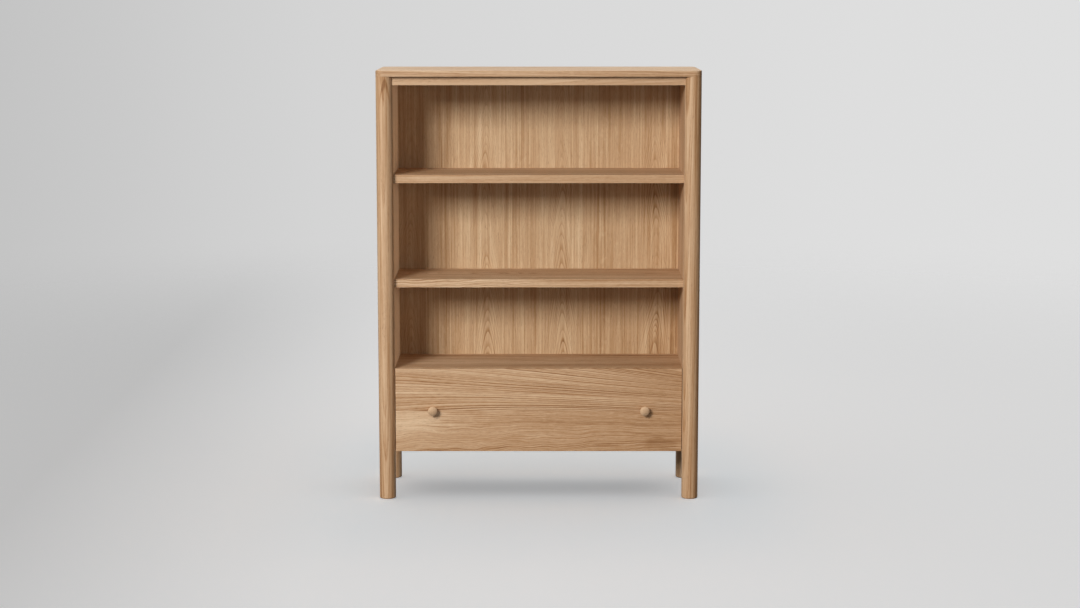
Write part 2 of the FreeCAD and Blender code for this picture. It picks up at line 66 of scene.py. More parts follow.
# ------------------------------------------------------------------ node trees
class Graph:
    """Short ways to build the nodes of one material, world or group. Each one is called g below."""

    def __init__(self, tree):
        self.tree = tree

    def node(self, kind, settings=None, **inputs):
        """A new node with its settings, and a link or a plain value for each named input."""
        made = self.tree.nodes.new("ShaderNode" + kind)
        for name, value in (settings or {}).items():
            setattr(made, name, value)
        for name, value in inputs.items():
            self.put(made.inputs[name.replace("_", " ")], value)
        return made

    def put(self, socket, value):
        """Link a socket to an output, or set it to a plain value."""
        if isinstance(value, bpy.types.NodeSocket):
            self.tree.links.new(value, socket)
        else:
            socket.default_value = value

    def math(self, operation, *values):
        made = self.node("Math", {"operation": operation})
        for socket, value in zip(made.inputs, values):
            self.put(socket, value)
        return made.outputs[0]

    def add(self, *values):
        """The sum of all values."""
        total = values[0]
        for value in values[1:]:
            total = self.math("ADD", total, value)
        return total

    def times(self, *values):
        """The product of all values."""
        total = values[0]
        for value in values[1:]:
            total = self.math("MULTIPLY", total, value)
        return total

    def times_plus(self, a, b, c):
        """a times b, plus c."""
        return self.math("MULTIPLY_ADD", a, b, c)

    def between(self, share, a, b):
        """a where share is 0, b where it is 1, and evenly between them elsewhere."""
        return self.times_plus(share, self.math("SUBTRACT", b, a), a)

    def centred(self, value):
        """Noise about 0 instead of about a half."""
        return self.math("SUBTRACT", value, 0.5)

    def remap(self, value, low, high, to_low=0.0, to_high=1.0, smooth=True):
        """to_low where value is low, to_high where it is high, and no further either way."""
        kind = "SMOOTHSTEP" if smooth else "LINEAR"
        made = self.node("MapRange", {"interpolation_type": kind, "clamp": True}, Value=value)
        for name, number in (("From Min", low), ("From Max", high), ("To Min", to_low), ("To Max", to_high)):
            self.put(made.inputs[name], number)
        return made.outputs[0]

    def window(self, value, start, full, last, end):
        """Rises from 0 at start to 1 at full, and falls from 1 at last to 0 at end."""
        return self.times(self.remap(value, start, full), self.remap(value, end, last))

    def stripe(self, offset, half, core, strength=1.0):
        """Full strength within core of the line where offset is 0, and none beyond half."""
        return self.remap(self.math("ABSOLUTE", offset), half, core, 0.0, strength)

    def vector(self, operation, *values):
        made = self.node("VectorMath", {"operation": operation})
        slots = [s for s in made.inputs if s.type == "VECTOR"]
        for socket, value in zip(slots, values):
            self.put(socket, value)
        return made.outputs[1] if operation in ("LENGTH", "DOT_PRODUCT") else made.outputs[0]

    def split(self, value):
        return list(self.node("SeparateXYZ", Vector=value).outputs)

    def join(self, x, y, z):
        return self.node("CombineXYZ", X=x, Y=y, Z=z).outputs[0]

    def noise(self, place, stretch, detail=2.0, roughness=0.5, colour=False):
        """Noise that is stretched by a number of cells per metre on each axis."""
        made = self.node("TexNoise", Vector=self.vector("MULTIPLY", place, stretch), Scale=1.0,
                         Detail=detail, Roughness=roughness)
        return made.outputs["Color" if colour else "Fac"]

    def noise_1d(self, w, detail=2.0):
        """Noise along a line, with one cell per unit."""
        made = self.node("TexNoise", {"noise_dimensions": "1D"}, W=w, Scale=1.0, Detail=detail)
        return made.outputs["Fac"]

    def random(self, w, colour=False):
        """A random number, or three of them as a colour, for each whole number."""
        made = self.node("TexWhiteNoise", {"noise_dimensions": "1D"}, W=w)
        return made.outputs["Color" if colour else "Value"]

    def ramp(self, factor, stops):
        """Colours or plain numbers at their positions, and even changes between them."""
        made = self.node("ValToRGB", Fac=factor)
        band = made.color_ramp
        while len(band.elements) < len(stops):
            band.elements.new(0.5)
        for element, (position, value) in zip(band.elements, stops):
            element.position = position
            element.color = value if isinstance(value, tuple) else (value, value, value, 1)
        return made.outputs["Color"]

    def mix(self, factor, a, b, blend="MIX"):
        """Two colours mixed."""
        made = self.node("Mix", {"data_type": "RGBA", "blend_type": blend})
        self.put(made.inputs["Factor"], factor)
        for name, value in (("A", a), ("B", b)):
            self.put([s for s in made.inputs if s.name == name and s.type == "RGBA"][0], value)
        return [s for s in made.outputs if s.type == "RGBA"][0]

    def tinted(self, colour, tint):
        """A colour times a share of its red, green and blue."""
        return self.mix(1.0, colour, (*tint, 1), blend="MULTIPLY")


def new_material(name):
    """An empty node material, its graph and its output node."""
    made = bpy.data.materials.new(name)
    made.use_nodes = True
    made.node_tree.nodes.clear()
    graph = Graph(made.node_tree)
    return made, graph, graph.node("OutputMaterial")


def principled(g, out, bump, **inputs):
    """The shader of a whole material. bump holds its strength, its distance and its height."""
    strength, distance, height = bump
    relief = g.node("Bump", Strength=strength, Distance=distance, Height=height)
    shader = g.node("BsdfPrincipled", Normal=relief.outputs[0], **inputs)
    g.put(out.inputs["Surface"], shader.outputs[0])


# ------------------------------------------------------------------ oak
# Noise cells per metre along, across and through a board. The flecks have theirs per metre along it,
# per radian round the pith and per metre away from the pith.
CELLS = {"warp": (1.3, 7, 7), "ripple": (6, 55, 55), "streak": (0.9, 38, 38), "patch": (0.9, 15, 15),
         "grain": (2.6, 185, 185), "fibre": (12, 430, 430), "dash": (42, 330, 330),
         "pore": (75, 1300, 1300), "fleck": (38, 150, 32)}
SEED_SHIFT = (0.37, 0.113, 0.071)    # how far one step of the seed moves the noise
YEAR = [(0.0, 0.1), (0.07, 1.0), (0.27, 0.8), (0.55, 0.22), (1.0, 0.0)]    # how brown one ring is, outwards


def wood_group():
    """Growth rings round a pith, with fibres, pores and ray flecks, from a place in the board.

    Place is along, across and depth in metres, and Pith is where the pith runs on the same axes.
    Taper is how much smaller each ring gets per metre along, which draws arches on a flat board.
    Spread is how far across from the pith the ring lines have faded by about half.
    """
    tree = bpy.data.node_groups.new("wood_figure", "ShaderNodeTree")
    face = tree.interface
    for name, kind in (("Place", "Vector"), ("Pith", "Vector"), ("Taper", "Float"), ("Spread", "Float"),
                       ("Ring", "Float"), ("Wander", "Float"), ("Seed", "Float")):
        face.new_socket(name=name, in_out="INPUT", socket_type="NodeSocket" + kind)
    for name in ("Band", "Line", "Streak", "Grain", "Fibre", "Dash", "Pores", "Flecks"):
        face.new_socket(name=name, in_out="OUTPUT", socket_type="NodeSocketFloat")
    g = Graph(tree)
    given = tree.nodes.new("NodeGroupInput").outputs
    result = tree.nodes.new("NodeGroupOutput").inputs

    # the seed moves the noise, and the noise pushes the place about
    seed, wander = given["Seed"], given["Wander"]
    shift = g.vector("MULTIPLY", g.join(seed, seed, seed), SEED_SHIFT)
    seeded = g.vector("ADD", given["Place"], shift)
    warp = g.vector("SUBTRACT", g.noise(seeded, CELLS["warp"], 2, 0.45, colour=True), (0.5, 0.5, 0.5))
    warp = g.vector("MULTIPLY", warp, g.join(wander, wander, wander))
    along, across, depth = g.split(g.vector("ADD", given["Place"], warp))

    # rings are counted from the pith, and some years are wider than others
    _, pith_across, pith_depth = g.split(given["Pith"])
    aside = g.math("SUBTRACT", across, pith_across)
    deep = g.math("SUBTRACT", depth, pith_depth)
    radius = g.math("SQRT", g.times_plus(aside, aside, g.times(deep, deep)))
    ripple = g.times(g.centred(g.noise(seeded, CELLS["ripple"], 2)), 1.6 * MM)
    rings = g.math("DIVIDE", g.add(radius, ripple, g.times(given["Taper"], along)), given["Ring"])
    rings = g.add(rings, g.times(g.noise_1d(g.add(g.times(rings, 0.23), seed), 1), 2.4))

    # a brown line for each ring, clearest near the pith, and bands that take in several rings
    early = g.ramp(g.math("FRACT", rings), YEAR)
    strength = g.random(g.add(g.math("FLOOR", rings), g.times(seed, 7.0)))
    line = g.times(early, g.remap(strength, 0, 1, 0.35, 1.0, smooth=False))
    near = g.remap(g.math("DIVIDE", g.math("ABSOLUTE", aside), given["Spread"]), 0.5, 1.5, 1.0, 0.12)
    g.put(result["Line"], g.times(g.math("SUBTRACT", line, 0.28), near))
    band = g.noise_1d(g.add(g.times(rings, 0.21), g.times(seed, 3.0)), 2)
    g.put(result["Band"], g.times(g.centred(band), g.math("SQRT", near)))

    # streaks, grain and dashes bend a little with the rings, and fibres and pores run straight
    bent = g.vector("ADD", seeded, g.vector("MULTIPLY", warp, (0.0, 0.6, 0.6)))
    g.put(result["Streak"], g.centred(g.noise(bent, CELLS["streak"], 3, 0.55)))
    grain = g.centred(g.noise(bent, CELLS["grain"], 2, 0.6))
    g.put(result["Grain"], g.times(grain, g.times(g.noise(seeded, CELLS["patch"], 1), 2.0)))
    g.put(result["Dash"], g.centred(g.noise(bent, CELLS["dash"], 2, 0.65)))
    g.put(result["Fibre"], g.noise(seeded, CELLS["fibre"], 2, 0.6))
    pores = g.remap(g.noise(seeded, CELLS["pore"], 1), 0.56, 0.70)
    g.put(result["Pores"], g.times(pores, g.remap(early, 0, 1, 0.15, 1.0, smooth=False)))

    # flecks lie on the rays, which run outwards from the pith
    turn = g.math("ARCTAN2", deep, aside)
    rays = g.noise(g.vector("ADD", g.join(along, turn, radius), shift), CELLS["fleck"], 1)
    g.put(result["Flecks"], g.remap(rays, 0.60, 0.74))
    return tree


WOOD = wood_group()
OAK = {"light": (214, 183, 148), "middle": (191, 154, 118), "brown": (168, 126, 86),
       "dark": (140, 98, 61), "pore": (118, 82, 52)}
VENEER = {"light": (211, 184, 148), "middle": (188, 155, 118), "brown": (165, 127, 87),
          "dark": (137, 99, 61), "pore": (116, 83, 52)}
LINING = {"light": (222, 190, 153), "middle": (210, 176, 138), "brown": (192, 155, 117),
          "dark": (168, 130, 94), "pore": (150, 113, 80)}
MIDDLE_TONE = 0.42    # where the middle colour lies, from the light one at 0 to the dark one at 1
BROWN_TONE = 0.78


def wood(name, grain, centre, pith=(0.0, 0.045), lean=(0.0, 0.0), taper=0.0, spread=9.0,
         ring=2.9 * MM, wander=8 * MM, seed=1.0, tone=0.0, colours=OAK, contrast=1.0, roughness=0.62,
         specular=0.26, bands=1.0, lines=1.0, streaks=1.0, fine=1.0, dashes=0.4, layout=None):
    """A procedural wood. grain names the axes along, across and through the board.

    pith and lean hold, across and through the board, where the pith runs at the centre and how
    far it strays per metre. bands, lines, streaks, fine and dashes say how much each kind of
    figure shows. layout may cut the board up or bend its grain.
    """
    made, g, out = new_material(name)
    seen_from = g.node("TexCoord").outputs
    place = g.vector("SUBTRACT", seen_from["Object"], centre)
    axes = dict(zip("XYZ", g.split(place)))
    board = {"along": axes[grain[0]], "across": axes[grain[1]], "depth": axes[grain[2]], "seed": seed,
             "tone": tone, "pith": pith, "joint": None, "wander": wander, "lines": 1.0}
    if layout:
        board.update(layout(g, board))
    leaning = [g.times_plus(board["along"], lean[k], board["pith"][k]) for k in (0, 1)]
    figure = g.node("Group", {"node_tree": WOOD}, Pith=g.join(0.0, *leaning),
                    Place=g.join(board["along"], board["across"], board["depth"]), Taper=taper,
                    Spread=spread, Ring=ring, Wander=board["wander"], Seed=board["seed"]).outputs

    # each kind of figure, how strongly it colours oak, and how much of it this board has
    marks = [(figure["Band"], 0.95, bands), (g.times(figure["Line"], board["lines"]), 0.46, lines),
             (figure["Streak"], 0.80, streaks), (figure["Grain"], 0.95, fine),
             (g.centred(figure["Fibre"]), 0.40, 1.0), (figure["Dash"], 0.95, dashes)]
    shade = g.add(*[g.times(mark, weight * contrast * amount) for mark, weight, amount in marks],
                  g.times(figure["Flecks"], -0.10), board["tone"], MIDDLE_TONE)
    light, mid, brown, dark, pore = [paint(*colour) for colour in colours.values()]
    base = g.ramp(shade, [(0.0, light), (MIDDLE_TONE, mid), (BROWN_TONE, brown), (1.0, dark)])

    # pores, end grain and glue lines are darker
    base = g.mix(g.times(figure["Pores"], 0.55), base, pore)
    end_axis = tuple(1.0 if letter == grain[0] else 0.0 for letter in "XYZ")
    facing = g.vector("DOT_PRODUCT", seen_from["Normal"], end_axis)
    end_grain = g.math("POWER", g.math("ABSOLUTE", facing), 3.0)
    base = g.mix(g.times(end_grain, 0.30), base, dark)
    if board["joint"] is not None:
        base = g.mix(g.times(board["joint"], 0.35), base, dark)

    # fibres, pores and end grain are rougher, and pores and ring lines lie deeper
    rough = g.add(g.times(figure["Fibre"], 0.14), g.times(figure["Pores"], 0.16),
                  g.times(g.noise(place, (4, 4, 4), 2), 0.10), g.times(end_grain, 0.12), roughness - 0.12)
    height = g.add(g.times(figure["Pores"], -1.0), g.times(figure["Line"], -0.22),
                   g.times(figure["Fibre"], 0.30))
    principled(g, out, (0.30, 0.16 * MM, height), Base_Color=base, Roughness=rough,
               Specular_IOR_Level=specular)
    return made


# ------------------------------------------------------------------ metals and plastic
def metal(name, colour, roughness, streak_axis=(1, 1, 1), tarnish=0.25):
    """Plated or polished steel, a little cloudy.

    Its fine streaks run along the axes where streak_axis is 0. Without such an axis it has a fine grain.
    """
    made, g, out = new_material(name)
    place = g.node("TexCoord").outputs["Object"]
    cloud = g.noise(place, (60, 60, 60), 3, 0.6)
    streak = g.noise(place, tuple(1800.0 if a else 25.0 for a in streak_axis), 2)
    dark = tuple(c * (1 - tarnish) for c in paint(*colour)[:3]) + (1.0,)
    base = g.mix(g.remap(cloud, 0.3, 0.7), dark, paint(*colour))
    rough = g.add(g.times(cloud, 0.16), g.times(streak, 0.14), roughness - 0.15)
    principled(g, out, (0.12, 0.03 * MM, streak), Base_Color=base, Roughness=rough, Metallic=1.0)
    return made


def soft_plastic(name):
    """The clear, slightly yellowed polyurethane of the stop pads."""
    made, g, out = new_material(name)
    place = g.node("TexCoord").outputs["Object"]
    cloud = g.noise(place, (220, 220, 220), 2)
    base = g.mix(cloud, paint(214, 208, 196), paint(228, 224, 216))
    rough = g.add(g.times(cloud, 0.2), 0.28)
    principled(g, out, (0.15, 0.05 * MM, g.noise(place, (1500, 1500, 1500), 1)), Base_Color=base,
               Roughness=rough, Transmission_Weight=0.35, Subsurface_Weight=0.2,
               Subsurface_Radius=(MM, MM, MM))
    return made


# ------------------------------------------------------------------ how boards are cut
# A layout gets a board's along, across, depth, seed, tone, pith and wander, and gives back those that
# it changes. It may add joint, which is 1 on a glue line, and lines, the strength of the ring lines.

# where the first strip starts across a board, and how wide the strips are
TOP_CUT = (-0.167, 0.0668)
SHELF_CUT = (-0.12, 0.0792)
SIDE_CUT = (-0.13, 0.0652)
BACK_CUT = (-0.4805, 0.219)
BOTTOM_CUT = (-0.11, 0.11)

JOINT_EDGE, JOINT_CORE = 0.5 * MM, 0.1 * MM    # a glue line fades out between these, from its middle
FRONT_JOINT = -0.002    # height of the drawer front's glue line over the centre given for that wood
ARCH_TIP = 0.586        # height of the brown arch's tip over the middle of the left post


def cut_across(g, board, start, width):
    """Which strip a place lies in, the place across it, the joints, and three random numbers."""
    count = g.math("DIVIDE", g.math("SUBTRACT", board["across"], start), width)
    index = g.math("FLOOR", count)
    across = g.times(g.centred(g.math("FRACT", count)), width)
    joint = g.remap(g.math("ABSOLUTE", across), width / 2 - JOINT_EDGE, width / 2 - JOINT_CORE)
    luck = g.random(g.times_plus(index, 1.7, board["seed"] * 5.1), colour=True)
    return index, across, joint, g.split(g.vector("SUBTRACT", luck, (0.5, 0.5, 0.5)))


def staves(start, width, spread=0.16):
    """Glued staves, each cut from its own place in a tree. spread is how far their tones differ."""
    def layout(g, board):
        index, across, joint, luck = cut_across(g, board, start, width)
        pith = [g.times_plus(luck[1], 0.07, board["pith"][0]), g.times_plus(luck[2], 0.05, board["pith"][1])]
        return {"across": across, "joint": joint, "pith": pith,
                "seed": g.times_plus(index, 13.7, board["seed"]),
                "tone": g.times_plus(luck[0], spread, board["tone"])}
    return layout


def leaves(start, width, spread=0.10, seed_step=0.02):
    """Veneers that follow each other in one flitch, so that their figures are nearly alike.

    seed_step is how far the seed moves on from one to the next.
    """
    def layout(g, board):
        index, across, joint, luck = cut_across(g, board, start, width)
        return {"across": across, "joint": joint, "index": index,
                "depth": g.times_plus(index, 0.6 * MM, board["depth"]),
                "seed": g.times_plus(index, seed_step, board["seed"]),
                "tone": g.times_plus(luck[0], spread, board["tone"])}
    return layout


def upward(g):
    """1 on a face that looks up, and -1 on one that looks down."""
    return g.split(g.node("TexCoord").outputs["Normal"])[2]


def slow_noise(g, value, cells, reach, detail=1):
    """Noise about 0 along a line, at most half of reach to each side, with so many cells per metre."""
    return g.times(g.centred(g.noise_1d(g.times(value, cells), detail)), reach)


def top_layout(g, board):
    """Staves whose grain falls slowly to the right. Painted light makes the upper face pale, painted shade
    the right end brown.
    """
    cut = staves(*TOP_CUT)(g, board)
    along, facing_up = board["along"], upward(g)
    cut["depth"] = g.times_plus(along, 0.024, board["depth"])
    # painted shade on the rounded right end, and painted light, a sheen from above, on the face that looks
    # up
    painted_shade_right_end = g.times(g.remap(along, 0.436, 0.447, 0.0, 0.34), g.remap(facing_up, 0.9, 0.5))
    cut["tone"] = g.add(cut["tone"], painted_shade_right_end, g.remap(facing_up, 0.5, 0.95, 0.0, -0.34))
    return cut


def deck_layout(g, board):
    """Staves that are a little browner towards the right."""
    cut = staves(*SHELF_CUT)(g, board)
    cut["tone"] = g.add(cut["tone"], g.remap(board["along"], -0.35, 0.35, -0.10, 0.10))
    return cut


def shelf_layout(g, board):
    """Staves whose grain runs in low waves on the left, paler there and with clearer ring lines."""
    cut = staves(*SHELF_CUT)(g, board)
    along = board["along"]
    wave = g.centred(g.noise_1d(g.add(g.times(along, 11.0), 4.0), 2))
    slope = g.times_plus(along, -0.035, g.times(wave, 0.012))
    on_left = g.remap(along, 0.10, -0.10)
    cut["depth"] = g.times_plus(slope, on_left, board["depth"])
    cut["lines"] = g.times_plus(on_left, 0.9, 1.0)
    cut["tone"] = g.add(cut["tone"], g.times(on_left, -0.05))
    return cut


def back_layout(g, board):
    """Four veneers with nested arches in their middles and brown streaks along their edges.

    along goes up from the centre given for that wood, and index counts the veneers from the left.
    """
    cut = leaves(*BACK_CUT, spread=0.05, seed_step=0.6)(g, board)
    index, across, along = cut["index"], cut["across"], board["along"]
    last = g.math("GREATER_THAN", index, 2.5)

    # the pith winds along the middle of each veneer, and off the middle in the last one
    sway = g.centred(g.noise_1d(g.add(g.times(along, 2.4), g.times(index, 5.3)), 1))
    cut["pith"] = [g.add(g.times(sway, 0.03), g.times(last, 0.053)), g.times_plus(sway, 0.012, 0.010)]

    # the arches come and go. They are clearest in the lowest bay on the two middle veneers,
    # and weaker in the top bay and on the first veneer
    strength = g.noise_1d(g.add(g.times(along, 4.2), g.times(index, 3.7), 1.9), 0)
    two_middle = g.times(g.math("GREATER_THAN", index, 0.5), g.math("LESS_THAN", index, 2.5))
    lowest_bay = g.times(g.window(along, -0.44, -0.40, -0.27, -0.20), two_middle)
    arches = g.math("MAXIMUM", g.remap(strength, 0.30, 0.66, 0.30, 1.25), g.times(lowest_bay, 1.45))
    top_bay = g.remap(along, 0.25, 0.12, 0.45, 1.0)
    first = g.remap(index, 0.4, 0.6, 0.45, 1.0)
    cut["lines"] = g.times(arches, top_bay, first)

    # one dark stripe in the top bay, tones by place and by veneer, and painted light and shade
    near_edge = g.remap(g.math("ABSOLUTE", across), 0.062, 0.104)
    streaks = g.noise(g.join(g.times(along, 1.3), g.add(across, index), 0.0), (1, 120, 1), 2, 0.6)
    streaks = g.times(near_edge, g.remap(streaks, 0.42, 0.66, 0.0, 0.30))
    dark_stripe = g.stripe(g.math("SUBTRACT", board["across"], 0.234), 0.007, 0.003)
    dark_stripe = g.times(dark_stripe, g.remap(along, 0.12, 0.20, 0.0, 0.20))
    at_bottom = g.remap(along, -0.18, -0.32, 0.0, 0.07)
    # painted light lifts the rail's shadow at the top of the back, and painted shade darkens the first
    # veneer, where the left post's shadow falls
    painted_light_under_rail = g.remap(along, 0.31, 0.38, 0.0, -0.13)
    painted_shade_first_veneer = g.remap(index, 0.6, 0.4, 0.0, 0.06)
    cut["tone"] = g.add(cut["tone"], streaks, dark_stripe, at_bottom, painted_light_under_rail, painted_shade_first_veneer, g.times(last, 0.12))
    return cut


def front_bend(g, along, height, upper):
    """How far the drawer front's grain bends up or down, and its swirls."""
    arch = g.times(g.times(along, along), 0.07)
    falling = g.times_plus(along, 0.105, arch)
    above = g.between(g.remap(height, 0.0, 0.10, smooth=False), arch, falling)
    under_joint = g.times_plus(along, 0.045, arch)
    rising = g.times(along, -0.07)
    below = g.between(g.remap(height, 0.0, -0.12, smooth=False), under_joint, rising)
    swirl = g.centred(g.noise(g.join(along, height, 3.0), (8, 11, 1), 1))
    swirl = g.times(swirl, g.remap(height, -0.02, -0.07, 0.010, 0.036))
    return g.between(upper, g.add(below, swirl), above), swirl


def front_marks(g, along, height, ragged, swirled):
    """Brown marks on the lower stave: a wedge near its right end, the wedge's tail, and streaks."""
    past = g.add(along, -0.342)
    wobble = slow_noise(g, along, 38.0, 0.022, detail=2)
    over = g.add(height, g.times_plus(wobble, 0.25, 0.0935))
    wedge = g.vector("LENGTH", g.join(g.times(past, 18.0), g.times(over, 52.0), 0.0))
    wedge = g.remap(g.times_plus(ragged, 1.1, wedge), 1.10, 0.60, 0.0, 0.21)
    tail = g.stripe(g.times_plus(past, -0.068, g.add(over, 0.010)), 0.0036, 0.001)
    tail = g.times(tail, g.window(along, 0.02, 0.16, 0.315, 0.345))
    streaks = g.remap(g.noise(swirled, (4.5, 75, 1), 2, 0.6), 0.53, 0.68, 0.0, 0.21)
    streaks = g.times(streaks, g.remap(height, -0.045, -0.075))
    return g.math("MAXIMUM", g.math("MAXIMUM", wedge, g.times(tail, 0.17)), streaks)


def front_layout(g, board):
    """Two wide staves. Their grain arches along the joint, falls to the right above it and rises below."""
    along, across = board["along"], board["across"]
    height = g.math("SUBTRACT", across, FRONT_JOINT)
    upper = g.math("GREATER_THAN", across, FRONT_JOINT)
    lower = g.math("SUBTRACT", 1.0, upper)
    bend, swirl = front_bend(g, along, height, upper)
    ragged = g.centred(g.noise(g.join(along, height, 0.0), (4, 190, 1), 2))
    marks = front_marks(g, along, height, ragged, g.join(along, g.add(height, g.times(swirl, lower)), 0.0))

    # a pale patch at the left of the lower stave, a browner strip over it, and brown to the right
    patch = g.times(g.remap(g.times_plus(ragged, 0.30, along), -0.23, -0.31), lower,
                    g.remap(g.times_plus(ragged, 0.03, height), -0.060, -0.046))
    strip = g.times(g.remap(height, 0.055, 0.0), upper, g.remap(along, -0.10, -0.30))
    left_end = g.times_plus(patch, -0.30, g.times(strip, 0.15))
    to_right = g.remap(along, -0.42, 0.40, -0.01, 0.29, smooth=False)

    # the ring lines are clearest above the joint and in the middle, and faint on the upper and lower edges
    in_middle = g.times_plus(g.window(along, -0.22, -0.02, 0.18, 0.33), 0.55, 0.4)
    by_joint = g.times(g.remap(height, 0.026, 0.014), g.remap(along, -0.36, -0.20))
    lines = g.add(g.times(upper, g.times_plus(by_joint, 0.9, in_middle)), 0.75)
    on_edge = g.remap(g.math("ABSOLUTE", upward(g)), 0.4, 0.9, 1.0, 0.3)
    return {"across": g.add(across, bend), "joint": g.stripe(height, JOINT_EDGE, JOINT_CORE),
            "seed": g.times_plus(upper, 13.7, board["seed"]),
            "wander": g.times_plus(upper, -9 * MM, 16 * MM),
            "pith": [g.times_plus(upper, 0.12, -0.17), board["pith"][1]],
            "lines": g.times(lines, on_edge, g.times_plus(patch, -0.7, 1.0)),
            "tone": g.add(to_right, left_end, g.times(marks, lower), board["tone"])}


def foot_tone(g, along):
    """The front posts are a little browner towards the floor."""
    return g.remap(along, -0.20, -0.50, 0.0, 0.16)


def left_post_layout(g, board):
    """A pale stripe, mostly painted highlight and partly paler wood, a brown one lower down, and the tip of
    a brown arch close under the top.
    """
    along, across = board["along"], board["across"]
    sway = slow_noise(g, along, 9.0, 0.006)
    side = g.add(across, sway, -0.003)
    below_tip = g.math("SUBTRACT", ARCH_TIP, g.times_plus(g.times(side, side), 290.0, along))
    arch = g.times(g.window(below_tip, 0.0, 0.008, 0.016, 0.038), g.remap(along, 0.490, 0.545, 0.0, 0.36))
    # the pale stripe: mostly painted highlight where the key lamp falls on the round post, partly paler wood
    pale = g.stripe(g.add(across, sway, 0.006), 0.005, 0.001, -0.12)
    brown = g.stripe(g.add(across, g.times(sway, 2.0), -0.007), 0.007, 0.002, 0.16)
    brown = g.times(brown, g.window(along, -0.42, -0.33, -0.10, 0.0))
    return {"tone": g.add(board["tone"], arch, pale, brown, foot_tone(g, along))}


def right_post_layout(g, board):
    """A thin brown stripe down the middle of the post, and painted shade on its right side, which turns away
    from the key lamp.
    """
    along, across = board["along"], board["across"]
    thin = g.stripe(g.add(across, slow_noise(g, along, 5.0, 0.004), -0.002), 0.004, 0.001, 0.12)
    # painted shade: darker towards the post's right side, away from the key lamp, and less of it near the
    # floor
    shade = g.times(g.remap(across, -0.010, 0.018, 0.0, 0.33), g.remap(along, -0.50, -0.20, 0.55, 1.0))
    return {"tone": g.add(board["tone"], thin, shade, foot_tone(g, along))}


# ------------------------------------------------------------------ which material goes where
def finish(material, *nodes):
    """Give a material to CAD nodes, in every slot they have."""
    for node in nodes:
        for slot in NODES[node].material_slots:
            slot.material = material


def middle(node):
    """The middle of a CAD node's box."""
    low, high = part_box(node)
    return (low + high) / 2


def cover(name, grain, *nodes, centre=None, **figure):
    """Give CAD nodes one wood, measured from the middle of the first of them or from a centre."""
    finish(wood(name, grain, centre or middle(nodes[0]), **figure), *nodes)


# seed, contrast, tone and layout of each
BOARDS = {"upper_shelf": (11.0, 0.75, 0.04, staves(*SHELF_CUT)),
          "middle_shelf": (14.1, 1.0, 0.09, shelf_layout),
          "drawer_bay_deck": (17.2, 1.3, 0.02, deck_layout),
          "drawer_bay_floor": (20.3, 1.0, 0.03, staves(*SHELF_CUT))}

# pith, lean, seed and layout of each
POSTS = {"front_left": ((0.01, 0.06), (0.004, 0.012), 21.0, left_post_layout),
         "front_right": ((0.05, 0.04), (0.01, 0.01), 33.0, right_post_layout),
         "rear_left": ((0.03, 0.05), (0.0, 0.02), 41.0, None),
         "rear_right": ((-0.03, 0.04), (0.01, 0.0), 52.0, None)}

cover("oak_top", "XYZ", "top_panel", pith=(-0.01, -0.055), seed=2.0, tone=0.02, roughness=0.50,
      specular=0.36, layout=top_layout)
cover("oak_rail", "XZY", "top_front_rail", pith=(0.012, 0.08), lean=(0.004, 0.01), seed=5.3,
      contrast=0.55, tone=0.02)
for board_name, (number, strength, shade, board_layout) in BOARDS.items():
    cover("oak_" + board_name, "XYZ", board_name, pith=(0.02, 0.06), lean=(0.0, 0.008), seed=number,
          contrast=strength, tone=shade, dashes=0.6, layout=board_layout)
for corner_name, (post_pith, post_lean, number, post_layout) in POSTS.items():
    cover("oak_%s_post" % corner_name, "ZXY", corner_name + "_post", pith=post_pith, lean=post_lean,
          seed=number, contrast=0.9, fine=1.2, dashes=0.25, layout=post_layout)
# the left panel's tone is paler than the right's: painted light for its inner face
for side_name, number, shade in zip(SIDES, (61.0, 72.0), (-0.05, 0.0)):
    cover("oak_%s_side" % side_name, "ZYX", side_name + "_side_panel", pith=(0.03, 0.07),
          lean=(0.0, 0.01), seed=number, contrast=0.6, tone=shade, layout=staves(*SIDE_CUT))
cover("oak_back", "ZXY", "back_panel", centre=(0, 0.118, 0.77), taper=0.155, spread=0.032, seed=84.0,
      ring=5 * MM, colours=VENEER, contrast=0.9, wander=9 * MM, bands=0.35, fine=1.35, streaks=0.65,
      dashes=0.25, tone=-0.03, layout=back_layout)
cover("oak_drawer_front", "XZY", "drawer_front", centre=(0, -0.135, 0.2525), pith=(0.0, 0.02),
      seed=93.0, ring=4.7 * MM, bands=0.16, streaks=0.32, lines=1.3, fine=0.8, dashes=0.6,
      layout=front_layout)
cover("oak_knobs", "YZX", "knobs", pith=(0.0, 0.06), seed=101.0, contrast=0.4, tone=-0.24)
cover("lining_sides", "YZX", "drawer_left_side", "drawer_right_side", pith=(0.02, 0.05), seed=111.0,
      colours=LINING, contrast=0.6)
cover("lining_boards", "XZY", "drawer_back", "drawer_box_front", pith=(0.02, 0.05), seed=118.0,
      colours=LINING, contrast=0.6)
cover("lining_bottom", "XYZ", "drawer_bottom", pith=(0.0, 0.04), lean=(0.0, 0.05), seed=123.0,
      colours=LINING, contrast=0.6, layout=leaves(*BOTTOM_CUT))
zinc = metal("zinc_slides", (196, 199, 203), 0.34, (1, 0, 1))
bright = metal("bright_balls", (214, 214, 216), 0.16, tarnish=0.1)
screw_metal = metal("zinc_screws", (190, 190, 186), 0.32)
clear = soft_plastic("clear_pads")
finish(zinc, *[side_name + part for side_name in SIDES
               for part in ("_cabinet_slide", "_middle_slide", "_drawer_slide")])


